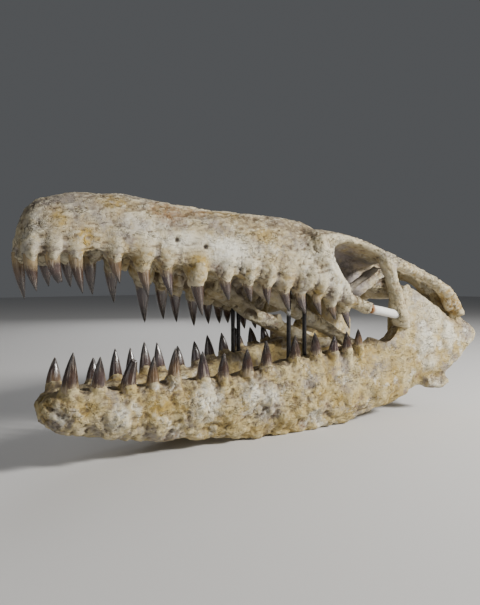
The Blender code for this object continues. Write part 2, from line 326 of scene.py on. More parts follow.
def write_mask(piece: Piece, name: str, values: np.ndarray) -> None:
    """Writes one number for each point of a mesh, from 0 to 1, for its material to read."""
    made = piece.data.attributes.get(name) or piece.data.attributes.new(name, "FLOAT", "POINT")
    made.data.foreach_set("value", np.clip(values, 0, 1).astype(np.float32))


def waves(points: np.ndarray, scale: float, octaves: int = 3, seed: float = 0.0) -> np.ndarray:
    """Smooth noise, about -1 to 1.

    Args:
        points: Places in millimetres.
        scale: The size of its bumps, in millimetres.
        octaves: How many finer layers it has.
        seed: A shift that gives another pattern.

    Returns:
        One value for each point.
    """
    moved = (points / scale + seed).tolist()
    return np.array([
        noise.fractal(point, 0.9, 2.1, octaves, noise_basis="PERLIN_ORIGINAL") for point in moved])


def crags(points: np.ndarray, scale: float, seed: float = 0.0) -> np.ndarray:
    """Rough noise with sharp valleys, 0 to about 1, as gritty matrix has, with bumps of one size in mm."""
    moved = (points / scale + seed).tolist()
    return np.array([noise.turbulence(point, 3, True, noise_basis="PERLIN_ORIGINAL") for point in moved])


def hollows(piece: Piece, rounds: int, reach: float) -> np.ndarray:
    """Finds where a surface is hollow.

    Args:
        piece: The object.
        rounds: How many times its points are averaged with their neighbours.
        reach: The depth, in millimetres, that counts as fully hollow.

    Returns:
        0.5 on level ground, up to 1 in hollows and down to 0 on ridges.
    """
    mesh = piece.data
    ends = np.empty(len(mesh.edges) * 2, np.int32)
    mesh.edges.foreach_get("vertices", ends)
    first, second = ends.reshape(-1, 2).T
    places = read_points(piece)
    smooth = places.copy()
    count = np.bincount(ends, minlength=len(places))[:, None].clip(1)
    for _ in range(rounds):
        total = np.zeros_like(smooth)
        np.add.at(total, first, smooth[second])
        np.add.at(total, second, smooth[first])
        smooth = total / count
    depth = ((smooth - places) * read_points(piece, normals=True)).sum(1) / MM
    return np.clip(0.5 + 0.5 * depth / reach, 0, 1)


# Teeth

@dataclass(frozen=True)
class Tooth:
    """One tooth: its place along the jaw, length, backward lean and base radius, in millimetres."""

    x: float
    length: float
    lean: float
    radius: float
    broken: bool = False


@dataclass
class ToothRow:
    """The teeth of one side of one jaw."""

    jaw: Jaw
    side: Side
    teeth: tuple[Tooth, ...]
    outward: float = 3.0
    lip: float = 0.34
    bare: float = 0.1

    def base(self, tooth: Tooth) -> Vector:
        """Where a crown starts.

        Args:
            tooth: The tooth.

        Returns:
            The place, in millimetres.
        """
        y = self.side.value * (at(HALF_WIDTH, tooth.x) - at(TOOTH_INSET, tooth.x))
        if self.jaw is Jaw.UPPER:
            return settled(Vector((tooth.x, y, at(UPPER_GUM, tooth.x))))
        return Vector((tooth.x, y, at(JAW_TOP, tooth.x)))

    def along(self, tooth: Tooth, height: float) -> Vector:
        """A place on a tooth's curved middle line.

        Args:
            tooth: The tooth.
            height: The distance from its base towards its tip, in millimetres.

        Returns:
            The place, in millimetres.
        """
        travel = max(height / tooth.length, 0) ** LEAN_POWER
        return self.base(tooth) + Vector((
            tooth.lean * travel, self.side.value * self.outward * travel, self.jaw.value * height))


def teeth(*rows: tuple[float, float, float, float], broken: tuple[int, ...] = ()) -> tuple[Tooth, ...]:
    """Makes teeth from rows of x, length, lean and radius, of which some are broken off."""
    return tuple(Tooth(*row, broken=index in broken) for index, row in enumerate(rows))


UPPER_LEFT = ToothRow(Jaw.UPPER, Side.LEFT, teeth(
    (-387, 33, 5, 6.5), (-366, 25, 6, 7), (-342, 40, 6, 7), (-300, 32, 5, 7.5), (-266, 41, 5, 8),
    (-238, 36, 7, 7.5), (-199, 54, 7, 9), (-161, 31, 5, 8), (-129, 29, 4, 7), (-101, 29, 1, 7),
    (-74, 33, 8, 7.5), (-49, 31, 8, 7.5), (-23, 26, 7, 6.5), (1, 27, 8, 6.5), (26, 35, 9, 6.5),
    broken=(1,)))
UPPER_RIGHT = ToothRow(Jaw.UPPER, Side.RIGHT, teeth(
    (-391, 43, 7, 6), (-360, 30, 5, 7), (-334, 32, 5, 7), (-306, 40, 5, 7.5), (-277, 42, 5, 7.5),
    (-231, 55, 5, 9), (-200, 45, 5, 8), (-176, 45, 5, 8), (-142, 45, 5, 8), (-112, 37, 5, 7.5),
    (-88, 31, 5, 7.5), (-68, 25, 4, 7), (-30, 28, 7, 7), (-2, 27, 8, 6.5), (24, 31, 9, 6.5)),
    lip=0.2, bare=0.2)
LOWER_LEFT = ToothRow(Jaw.LOWER, Side.LEFT, teeth(
    (-350, 41, 3, 8.5), (-319, 37, 1, 8), (-285, 31, 6, 8.5), (-255, 34, 0, 7.5), (-228, 37, 0, 8),
    (-190, 36, -3, 8.5), (-163, 32, -1, 8), (-129, 31, -3, 8), (-101, 35, -3, 8), (-56, 33, -3, 8),
    (-23, 31, -6, 8), (7, 24, -2, 7.5), (32, 26, -5, 7.5), (54, 24, -5, 6.5), broken=(2,)),
    lip=0.22, bare=0.22)
LOWER_RIGHT = ToothRow(Jaw.LOWER, Side.RIGHT, teeth(
    (-352, 31, 3, 8), (-303, 29, 2, 8), (-272, 38, 1, 8), (-249, 36, 0, 7.5), (-227, 38, 0, 8),
    (-204, 38, -2, 8), (-168, 32, -1, 8), (-134, 32, -2, 8), (-107, 34, -2, 8), (-76, 30, -2, 8),
    (-40, 30, -5, 8), (-4, 26, -3, 7.5), (28, 26, -5, 7.5), (52, 24, -5, 6.5)),
    lip=0.22, bare=0.22)


@dataclass
class CrownMaker:
    """Makes the enamel crowns from one template."""

    sides: int = 40
    rings: int = 17
    sunk: float = 0.16
    ridge_count: int = 12
    ridge_depth: float = 0.035
    seed: int = 11
    keel_height: float = 0.07
    fullness: float = 1.03
    flatness: float = 0.92
    lost_tip: float = 1.35
    template: Piece | None = None

    def make_template(self) -> Piece:
        """Models a straight crown, one unit long and one unit in radius, that stands on +Z.

        Returns:
            The template object.
        """
        bpy.ops.object.select_all(action="DESELECT")
        bpy.ops.mesh.primitive_circle_add(
            vertices=self.sides, radius=1, fill_type="NGON", location=(0, 0, -self.sunk))
        piece = bpy.context.active_object
        apply_transform(piece)
        step = (1 + self.sunk) / self.rings
        with editing(piece):
            for _ in range(self.rings):
                bpy.ops.mesh.extrude_region_move(TRANSFORM_OT_translate={"value": (0, 0, step)})
            bpy.ops.mesh.merge(type="CENTER")
            bpy.ops.mesh.select_all(action="SELECT")
            bpy.ops.mesh.normals_make_consistent(inside=False)
        return piece

    def width(self, rise: np.ndarray) -> np.ndarray:
        """The share of the base radius that a crown keeps at each share of its length."""
        return (1 - np.clip(rise, 0, 1) ** 1.5).clip(0, 1) ** 0.86 + 0.012

    def shape(self, row: ToothRow, tooth: Tooth, name: str, draw: random.Random) -> Piece:
        """Copies the template into one tooth's place and shape.

        Args:
            row: The tooth's row.
            tooth: The tooth.
            name: The new object's name.
            draw: The source of the small differences between teeth.

        Returns:
            The crown, with its masks for the enamel.
        """
        piece = add_object(name, self.template.data.copy())
        unit = read_points(piece)
        rise = unit[:, 2]
        turn = np.arctan2(unit[:, 1], unit[:, 0])
        whole = tooth.length * (self.lost_tip if tooth.broken else 1.0)
        height = rise * whole
        if tooth.broken:
            ragged = 0.5 * (np.sin(2 * turn + draw.uniform(0, 6)) + 0.6 * np.sin(5 * turn + 1.0))
            height = np.minimum(height, tooth.length + 1.6 * ragged - 4.0 * (rise > 0.999))
        phase = draw.uniform(0, 6)
        fade = np.clip(1.15 - rise, 0, 1) * np.clip(rise * 6 + 0.4, 0, 1)
        ridges = 1 + self.ridge_depth * fade * (
            np.abs(np.sin(0.5 * self.ridge_count * turn + phase)) - 0.5 + 0.5 * np.sin(3 * turn + phase))
        keel = 1 + self.keel_height * np.abs(np.cos(turn)) ** 12 * np.clip(1.2 - rise, 0, 1)
        radius = tooth.radius * self.fullness * self.width(rise) * ridges * keel
        middle = np.array([row.along(tooth, max(h, 0))[:] for h in height]) + np.outer(
            np.minimum(height, 0), (0, 0, row.jaw.value))
        slope = LEAN_POWER * tooth.lean / tooth.length * np.clip(rise, 0, 1) ** (LEAN_POWER - 1)
        places = middle.copy()
        places[:, 0] += radius * np.cos(turn)
        places[:, 1] += self.flatness * radius * np.sin(turn)
        places[:, 2] -= row.jaw.value * slope * radius * np.cos(turn)
        write_points(piece, places)
        write_mask(piece, "rise", height / tooth.length + row.bare)
        write_mask(piece, "turn", turn / (2 * math.pi) + 0.5)
        for mask, bias in (("tone", 1.0), ("amber", 1.8), ("seed", 1.0)):
            write_mask(piece, mask, np.full(len(places), draw.random() ** bias))
        return piece

    def fit(self, row: ToothRow, name: str) -> Piece:
        """Makes all the crowns of one row.

        Args:
            row: The row.
            name: The piece's name.

        Returns:
            One object that holds them.
        """
        if self.template is None:
            self.template = self.make_template()
        draw = random.Random(self.seed + len(name))
        made = [self.shape(row, tooth, f"{name}_{i}", draw) for i, tooth in enumerate(row.teeth)]
        piece = join(name, made)
        with editing(piece):
            bpy.ops.mesh.normals_make_consistent(inside=False)
        bpy.ops.object.shade_smooth_by_angle(angle=math.radians(50))
        return piece


# Bones

@dataclass(frozen=True)
class Patch:
    """A soft patch of staining, of painted shade, or a swelling, on the surface: its middle and half sizes in
    millimetres.
    """

    centre: Triple
    reach: Triple
    amount: float = 1.0

    def weight(self, points: np.ndarray, ragged: np.ndarray | float = 0.0) -> np.ndarray:
        """How much of the patch each point has.

        Args:
            points: Places in millimetres.
            ragged: Noise that frays the patch's edge.

        Returns:
            Values from 0 to amount.
        """
        offset = (points - np.array(self.centre)) / np.array(self.reach)
        distance = np.sqrt((offset ** 2).sum(1)) + 0.35 * ragged
        return self.amount * np.clip(1.45 - 1.1 * distance, 0, 1)


def patches(*rows: tuple[float, ...]) -> tuple[Patch, ...]:
    """Makes patches from rows of middle, half sizes and, where it isn't 1, amount."""
    return tuple(Patch(row[:3], row[3:6], *row[6:]) for row in rows)


@dataclass
class Bone:
    """What every bone piece shares: its skin, its sockets, and its staining and painted shade."""

    name: str
    nodes: tuple[str, ...]
    rows: tuple[ToothRow, ...]
    voxel: float = 2.45
    collar_levels: tuple[tuple[float, float], ...] = ((22.0, 1.8), (8.0, 1.6))
    wall_reach: float = 8.5
    arch_depth: Triple = (-6.0, 0.40, 6.0)
    arch_start: float = 1.25
    arch_spread: float = 16.0
    arch_reach: float = 12.0
    arch_most: float = 18.0
    arch_share: float = 0.92
    crown_span: tuple[float, float] = (0.3, 1.1)
    root_width: float = 1.1
    root_depth: float = 26.0
    root_level: float = 0.32
    socket_rim: float = 1.25
    lip_width: float = 0.88
    fluting: float = 4.4
    roof_from: float = 235.0
    blunt_from: float = -383.0
    blunt_heights: tuple[float, float] = (232.0, 245.0)
    bluntness: tuple[float, float] = (0.15, 0.3)
    stains_and_shade: dict[str, tuple[Patch, ...]] = field(default_factory=dict)

    def without_crowns(self, piece: Piece) -> None:
        """Takes the plain crowns off a copy of the solid and closes what is left.

        Args:
            piece: The copy.
        """
        points = places_of(piece)
        chosen = np.zeros(len(points), bool)
        for row in self.rows:
            for tooth in row.teeth:
                base = np.array(row.base(tooth))
                height = row.jaw.value * (points[:, 2] - base[2])
                low, high = (share * tooth.length for share in self.crown_span)
                near = (height > low) & (height < high)
                tip = np.array(row.along(tooth, 0.7 * tooth.length))
                near &= np.hypot(points[:, 0] - tip[0], points[:, 1] - tip[1]) < 1.5 * tooth.radius
                chosen |= near
        with editing(piece):
            bpy.ops.mesh.select_all(action="DESELECT")
        piece.data.vertices.foreach_set("select", chosen)
        bpy.ops.object.mode_set(mode="EDIT")
        bpy.ops.mesh.delete(type="VERT")
        bpy.ops.mesh.select_all(action="SELECT")
        bpy.ops.mesh.fill_holes(sides=0)
        bpy.ops.object.mode_set(mode="OBJECT")

    def collars(self) -> list[Piece]:
        """Models the flared bone round each root, with a lip that runs out on the crown.

        Returns:
            Three cones for each tooth.
        """
        made = []
        for row in self.rows:
            for tooth in row.teeth:
                base = row.base(tooth)
                levels = []
                for height, width in self.collar_levels:
                    flare = min(width * tooth.radius, max(base.x - SNOUT_END, tooth.radius))
                    inward = row.side.value * max(flare - self.wall_reach, 0)
                    inset = Vector((0.02 * height * tooth.lean, inward, row.jaw.value * height))
                    levels.append((base - inset, flare))
                levels.append((row.along(tooth, 0.5), self.socket_rim * tooth.radius))
                levels.append((row.along(tooth, row.lip * tooth.length), self.lip_width * tooth.radius))
                for (low, wide), (high, narrow) in zip(levels, levels[1:]):
                    made.append(cone_between(low, high, wide, narrow))
        return made

    def carve_arches(self, points: np.ndarray) -> None:
        """Lowers the edge of the jaw between its teeth.

        Args:
            points: The bone's points, in millimetres, which are changed in place.
        """
        for row in self.rows:
            beside = row.side.value * points[:, 1]
            for first, second in zip(row.teeth, row.teeth[1:]):
                start = first.x + self.arch_start * first.radius
                end = second.x - self.arch_start * second.radius
                inside = (points[:, 0] > start) & (points[:, 0] < end)
                share = (points[inside, 0] - start) / (end - start)
                least, per_gap, most = self.arch_depth
                room = second.x - second.radius - first.x - first.radius
                depth = min(max(least + per_gap * room, 0), most) * np.sin(math.pi * share) ** 1.2
                edge = np.interp(share, (0, 1), (row.base(first).z, row.base(second).z))
                middle = abs(row.base(first).y + row.base(second).y) / 2
                across = np.clip(1.6 - np.abs(beside[inside] - middle) / self.arch_spread, 0, 1)
                height = row.jaw.value * (points[inside, 2] - edge)
                over = np.clip(height + depth * across, 0, self.arch_most)
                points[inside, 2] -= row.jaw.value * self.arch_share * over * (height < self.arch_reach)

    def root_swelling(self, points: np.ndarray, normals: np.ndarray) -> np.ndarray:
        """How far the wall stands out over each root and back between two.

        Args:
            points: The bone's points, in millimetres.
            normals: The directions that they face.

        Returns:
            One distance for each point, in millimetres.
        """
        bulge = np.zeros(len(points))
        for row in self.rows:
            facing = np.clip(row.side.value * normals[:, 1] * 1.6, 0, 1)
            for tooth in row.teeth:
                base = row.base(tooth)
                along = np.exp(-((points[:, 0] - base.x) / (self.root_width * tooth.radius)) ** 2)
                height = -row.jaw.value * (points[:, 2] - base.z)
                level = np.clip((height + 6) / 10, 0, 1) * np.clip(1.3 - height / self.root_depth, 0, 1)
                beside = np.abs(points[:, 0] - base.x) < 2 * self.root_width * tooth.radius
                bulge += self.fluting * (along - self.root_level) * facing * level * beside
        return bulge

    def relief(self, points: np.ndarray, normals: np.ndarray) -> np.ndarray:
        """How far each point of the skin is pushed out, in millimetres."""
        raise NotImplementedError

    def skin(self) -> Piece:
        """Melts the solid and its additions into one finely meshed skin.

        Returns:
            The skin.
        """
        base = [node_copy(node, f"{self.name}_{node}") for node in self.nodes]
        for piece in base:
            self.without_crowns(piece)
        piece = join(self.name, base + self.collars() + self.additions())
        apply_modifier(piece, "REMESH", mode="VOXEL", voxel_size=self.voxel * MM)
        apply_modifier(piece, "SMOOTH", factor=0.5, iterations=3)
        return piece

    def additions(self) -> list[Piece]:
        """Bodies that this bone has beyond its solid."""
        raise NotImplementedError

    def dress(self, piece: Piece) -> None:
        """Carves, roughens and stains a skin.

        Args:
            piece: The skin.
        """
        points = places_of(piece)
        self.carve_arches(points)
        write_points(piece, points)
        apply_modifier(piece, "SMOOTH", factor=0.5, iterations=2)
        points, normals = places_of(piece), read_points(piece, normals=True)
        swelling = self.root_swelling(points, normals)
        push = self.relief(points, normals) + swelling
        points = points + normals * push[:, None]
        points[:, 2] = np.maximum(points[:, 2], 0.0)
        bluntness = np.interp(points[:, 2], self.blunt_heights, self.bluntness)
        points[:, 0] += bluntness * np.maximum(self.blunt_from - points[:, 0], 0)
        write_points(piece, points)
        self.stain_and_painted_light(piece, points, np.clip(-0.7 * swelling, 0, 1))
        bpy.context.view_layer.update()
        focus(piece)
        bpy.ops.object.shade_smooth()

    def stain_and_painted_light(self, piece: Piece, points: np.ndarray, flutes: np.ndarray) -> None:
        """Writes the masks of staining and painted shade that the bone's finish reads.

        Args:
            piece: The bone.
            points: Its points, in millimetres.
            flutes: How deep each point lies in the wall between two roots, from 0 to 1; it is painted greyer
                there as shade.
        """
        # Hollow masks: the finish paints grime and shade into hollows and light onto ridges
        write_mask(piece, "hollow", hollows(piece, 4, 1.0))
        write_mask(piece, "broad_hollow", hollows(piece, 18, 3.0))
        upward = read_points(piece, normals=True)[:, 2]
        # Surfaces that face up are painted darker: partly weathering, partly painted shade on the tops
        write_mask(piece, "upward", 1.8 * upward - 0.28 + 0.5 * waves(points, 14, 3, 2.9))
        ragged = 1.4 * waves(points, 12, 4, 5.5)
        inside = 1 - np.clip(2.5 * upward, 0, 1) * (points[:, 2] > self.roof_from)
        for mask, patches in self.stains_and_shade.items():
            # Painted shade: the flutes between roots are painted greyer
            total = 0.9 * flutes if mask == "grey_stain_and_shade" else np.zeros(len(points))
            for patch in patches:
                total = np.maximum(total, patch.weight(points, 0.0 if mask == "pit_shade" else ragged))
            write_mask(piece, mask, total * inside if mask == "shade" else total)


@dataclass
class Cranium(Bone):
    """Skull roof, snout, cheek and temporal bars, braincase and palate."""

    cheek_lumps: tuple[Lump, ...] = (
        (142, 106, 153, (9, 8, 12)), (150, 103, 166, (17, 7, 34)), (156, 104, 147, (20, 7, 20)),
        (262, 123, 154, (11, 9, 22)), (248, 121, 172, (15, 9, 15)), (-199, 43.5, 219, (12.5, 8, 18)))
    strut: tuple[Triple, Triple] = ((58, 62, 192), (112, 76, 226))
    strut_radii: tuple[float, float] = (6.0, 6.5)
    seat_radii: tuple[float, float] = (9.0, 11.0)
    brow_dip: Patch = Patch((-92, -15, 310), (26, 40, 13))
    smooth_plate: Patch = Patch((-180, -50, 248), (48, 40, 24))
    pit_shade_size: float = 5.0

    def additions(self) -> list[Piece]:
        """The strut across each eye socket, the bone that takes the cheek rod's rear end, and the lumps.

        Returns:
            The bodies of both sides.
        """
        made = []
        for side in Side:
            low, high = (Vector((x, side.value * y, z)) for x, y, z in self.strut)
            made.append(cone_between(low, high, *self.strut_radii))
            rod_end = Vector((CHEEK_ROD[1][0], side.value * CHEEK_ROD[1][1], CHEEK_ROD[1][2]))
            seat = rod_end - Vector((6, side.value * 0.8, -1.2))
            made.append(cone_between(seat, rod_end, *self.seat_radii))
            for x, y, z, radii in self.cheek_lumps:
                made.append(lump_at(Vector((x, side.value * y, z)), radii))
        return made

    def relief(self, points: np.ndarray, normals: np.ndarray) -> np.ndarray:
        """Lengthwise grooves, flaked plates and pits, calmer on the smooth plate and inside.

        Args:
            points: The bone's points, in millimetres.
            normals: The directions that they face.

        Returns:
            How far each point is pushed out, in millimetres.
        """
        outside = np.clip(0.35 + np.abs(normals[:, 1]) + np.maximum(normals[:, 2], 0), 0.35, 1)
        calm = 1 - 0.65 * self.smooth_plate.weight(points)
        long = points * np.array((0.42, 1.0, 1.0))
        flakes = np.floor(3.0 * (waves(long, 19, 3, 9.3) + 0.2 * waves(points, 6, 2, 1.9)))
        grooves = -np.clip(1 - np.abs(waves(long, 15, 3, 4.2)) * 8, 0, 1)
        rough = 0.4 * flakes + 1.3 * grooves + 0.7 * waves(long, 5, 2, 7.7)
        sunk = sum(pit_shade.weight(points) for pit_shade in self.stains_and_shade["pit_shade"] if pit_shade.reach[0] < self.pit_shade_size)
        sunk = sunk + 2.2 * self.brow_dip.weight(points)
        return 2.7 * waves(long, 30, 2, 3.1) + outside * calm * rough - 1.6 * sunk


@dataclass
class LowerJaw(Bone):
    """One lower jaw, and the quadrate with its matrix that stands on its rear end."""

    side: Side = Side.LEFT
    seam: Profile = ((60, 152), (310, 96))
    corner_limit: Profile = (
        (62, 122), (84, 119), (100, 114), (110, 118), (120, 126), (130, 139), (134, 152))
    corner_front: float = 76.0
    lumps: tuple[Lump, ...] = (
        (-301, 29, 52, (18, 8, 16)), (-240, 36, 50, (20, 8, 15)), (-193, 44, 50, (25, 10, 24)),
        (-129, 57, 50, (20, 9, 22)), (-96, 63, 48, (13, 8, 18)), (-44, 75, 34, (26, 9, 17)),
        (14, 83, 28, (24, 9, 14)), (62, 90, 32, (18, 8, 12)), (112, 98, 44, (24, 8, 14)),
        (156, 103, 172, (14, 8, 30)), (156, 105, 146, (16, 9, 18)), (154, 104, 134, (26, 9, 20)),
        (182, 111, 112, (19, 8, 26)), (231, 120, 121, (13, 8, 26)), (195, 113, 78, (15, 8, 15)),
        (210, 114, 150, (30, 6, 18)))

    def relief(self, points: np.ndarray, normals: np.ndarray) -> np.ndarray:
        """Lumps and crusts of matrix, calmer at the rear.

        Args:
            points: The bone's points, in millimetres.
            normals: The directions that they face.

        Returns:
            How far each point is pushed out, in millimetres.
        """
        outer = np.clip(0.45 + self.side.value * normals[:, 1], 0.25, 1)
        low = np.clip((100 - points[:, 2]) / 26, 0.15, 1)
        calm = np.interp(points[:, 0], (-380, -60, 60, 160, 260), (1, 1, 0.6, 0.4, 0.6))
        rough = 6.5 * (crags(points, 38, 2.2) - 0.45) + 2.0 * waves(points, 13, 3, 6.1)
        crust = np.zeros(len(points))
        for patch in self.stains_and_shade["white"]:
            crust = np.maximum(crust, patch.weight(points, 0.5 * waves(points, 12, 2, 1.3)))
        crust *= 3.4 + 3.2 * crags(points, 6, 3.3)
        for patch in self.stains_and_shade["plate"]:
            edge = patch.weight(points, waves(points, 15, 3, 1.3))
            crust = np.maximum(crust, 3.2 * np.clip(1.7 * edge - 0.4, 0, 1))
        fine = 0.7 * waves(points, 5, 3, 4.4)
        under = 4.2 * np.clip(-normals[:, 2] - 0.2, 0, 1) * waves(points, 24, 2, 6.6)
        gritty = calm * (outer * low * rough + fine) + outer * crust
        return gritty + 0.9 * waves(points, 18, 2, 8.8) + under - outer

    def carve_arches(self, points: np.ndarray) -> None:
        """Lowers the edge between the teeth, and cuts back the corner behind the last one.

        Args:
            points: The bone's points, in millimetres, which are changed in place.
        """
        super().carve_arches(points)
        along = points[:, 0] + 0.84 * (np.abs(points[:, 1]) - 105)
        starts, heights = zip(*self.corner_limit)
        limit = np.interp(along, starts, heights)
        corner = (points[:, 0] > self.corner_front) & (points[:, 2] < heights[-1])
        corner &= (along > starts[0]) & (along < starts[-1])
        points[corner, 2] = np.minimum(points[corner, 2], limit[corner])

    def additions(self) -> list[Piece]:
        """Swellings of matrix along the jaw, round the quadrate's seams and on the rear mass."""
        return [lump_at(Vector((x, self.side.value * y, z)), radii) for x, y, z, radii in self.lumps]

    def split(self, piece: Piece, quadrate_name: str) -> Piece:
        """Cuts the quadrate off at the seam.

        Args:
            piece: The skin of both, which keeps the lower jaw.
            quadrate_name: The name of the new piece.

        Returns:
            The quadrate.
        """
        quadrate = add_object(quadrate_name, piece.data.copy())
        (x0, z0), (x1, z1) = self.seam
        normal = Vector((z0 - z1, 0, x1 - x0)).normalized()
        for half, keep_upper in ((piece, False), (quadrate, True)):
            with editing(half):
                bpy.ops.mesh.bisect(
                    plane_co=AXES.place((x0, 0, z0)), plane_no=normal, use_fill=True,
                    clear_inner=keep_upper, clear_outer=not keep_upper)
        return quadrate


@dataclass
class Rod:
    """A straight rod with eased ends that stands in for one solid."""

    node: str
    start: Triple
    end: Triple
    radius: float
    bevel: float
    wobble: float = 0.0
    sides: int = 28
    cuts: int = 24

    def build(self) -> Piece:
        """Models the rod.

        Returns:
            The rod.
        """
        piece = cone_between(Vector(self.start), Vector(self.end), self.radius, self.radius, self.sides)
        piece.name = self.node + "_rod"
        piece.data.name = piece.name
        axis = (Vector(self.end) - Vector(self.start)).normalized()
        with editing(piece):
            for step in range(1, self.cuts):
                place = Vector(self.start).lerp(Vector(self.end), step / self.cuts)
                bpy.ops.mesh.select_all(action="SELECT")
                bpy.ops.mesh.bisect(plane_co=AXES.place(place), plane_no=axis)
        if self.wobble:
            points = places_of(piece)
            push = self.wobble * waves(points, 9, 3, 2.5)
            write_points(piece, points + read_points(piece, normals=True) * push[:, None])
        apply_modifier(
            piece, "BEVEL", width=self.bevel * MM, segments=3, limit_method="ANGLE", angle_limit=1.0)
        focus(piece)
        bpy.ops.object.shade_smooth_by_angle(angle=math.radians(40))
        return piece


# Finishes

class Wiring:
    """Adds nodes to one node tree and links them."""

    def __init__(self, tree: bpy.types.NodeTree) -> None:
        """Starts with the tree."""
        self.tree = tree

    def add(self, kind: str, inputs: dict[int | str, Source] | None = None, **settings: object) -> Node:
        """Adds a node.

        Args:
            kind: Blender's name of the node type.
            inputs: What its inputs get, by name or number.
            settings: Values set on the node.

        Returns:
            The node.
        """
        node = self.tree.nodes.new(kind)
        for key, value in settings.items():
            setattr(node, key, value)
        for key, source in (inputs or {}).items():
            self.feed(node.inputs[key], source)
        return node

    def feed(self, socket: Socket, source: Source) -> None:
        """Links a socket, or sets a plain colour or number on it.

        Args:
            socket: The input.
            source: Another node's output, a colour or a number.
        """
        if isinstance(source, Socket):
            self.tree.links.new(source, socket)
        elif isinstance(source, tuple) and socket.type == "RGBA":
            socket.default_value = (*source, 1)
        else:
            socket.default_value = source

    def mix(self, mask: Source, first: Source, second: Source) -> Socket:
        """The first colour where the mask is 0, and the second where it is 1."""
        return self.add("ShaderNodeMix", {0: mask, 6: first, 7: second}, data_type="RGBA").outputs[2]

    def tint(self, colour: Source, mask: Source, share: float, tone: Colour) -> Socket:
        """A colour with another tone where a mask is, as strong as a share."""
        return self.mix(self.times(mask, share), colour, tone)

    def math(self, operation: str, first: Source, second: Source = 0.0) -> Socket:
        """Works out one number from two."""
        return self.add("ShaderNodeMath", {0: first, 1: second}, operation=operation).outputs[0]

    def times(self, first: Source, second: Source) -> Socket:
        """The product of two numbers."""
        return self.math("MULTIPLY", first, second)

    def plus(self, first: Source, second: Source) -> Socket:
        """The sum of two numbers."""
        return self.math("ADD", first, second)

    def less(self, first: Source, second: Source) -> Socket:
        """The first number less the second."""
        return self.math("SUBTRACT", first, second)

    def ramp(self, value: Source, low: Source, high: Source) -> Socket:
        """A soft step: 0 below low and 1 above high, or the other way round if low is above high."""
        limits = {0: value, 1: low, 2: high, 3: 0.0, 4: 1.0}
        return self.add("ShaderNodeMapRange", limits, interpolation_type="SMOOTHSTEP").outputs[0]

    def noise(self, place: Source, scale: Source, detail: float = 4.0, rough: float = 0.6) -> Socket:
        """Noise from 0 to 1 with bumps about 1/scale metres long."""
        inputs = {"Vector": place, "Scale": scale, "Detail": detail, "Roughness": rough}
        return self.add("ShaderNodeTexNoise", inputs).outputs[0]

    def cells(self, place: Source, scale: Source, feature: str) -> Socket:
        """A distance in a net of cells, to their middles or to their edges."""
        return self.add(
            "ShaderNodeTexVoronoi", {"Vector": place, "Scale": scale}, feature=feature).outputs["Distance"]

    def stretch(self, place: Source, share: float) -> Socket:
        """A place drawn together along x, which stretches a pattern along the bone."""
        scale = (share, 1.0, 1.0)
        return self.add("ShaderNodeVectorMath", {0: place, 1: scale}, operation="MULTIPLY").outputs[0]

    def bump(self, shader: Node, height: Source, distance: float) -> None:
        """Raises a shader's surface by a height mask, up to a distance in metres."""
        raised = self.add("ShaderNodeBump", {"Distance": distance, "Height": height})
        self.feed(shader.inputs["Normal"], raised.outputs[0])

    def mask(self, name: str) -> Socket:
        """A mask that the piece's points carry."""
        return self.add("ShaderNodeAttribute", attribute_name=name).outputs["Fac"]

    def place(self) -> Socket:
        """The place on the object."""
        return self.add("ShaderNodeTexCoord").outputs["Object"]

    def group(self, tree: bpy.types.NodeTree, **inputs: Source) -> Node:
        """Places a shared group with its own values."""
        return self.add("ShaderNodeGroup", inputs, node_tree=tree)


def new_group(name: str, inputs: dict[str, str], outputs: dict[str, str]) -> tuple[Wiring, dict, dict]:
    """Makes an empty shared group.

    Args:
        name: Its name.
        inputs: Each input's name and socket type.
        outputs: Each output's name and socket type.

    Returns:
        The group's wiring, its inputs' sources by name, and its outputs' sockets by name.
    """
    tree = bpy.data.node_groups.new(name, "ShaderNodeTree")
    for sockets, way in ((inputs, "INPUT"), (outputs, "OUTPUT")):
        for key, kind in sockets.items():
            tree.interface.new_socket(name=key, in_out=way, socket_type=kind)
    wiring = Wiring(tree)
    start, end = wiring.add("NodeGroupInput"), wiring.add("NodeGroupOutput")
    return wiring, {key: start.outputs[key] for key in inputs}, {key: end.inputs[key] for key in outputs}


FLOAT, VECTOR = "NodeSocketFloat", "NodeSocketVector"


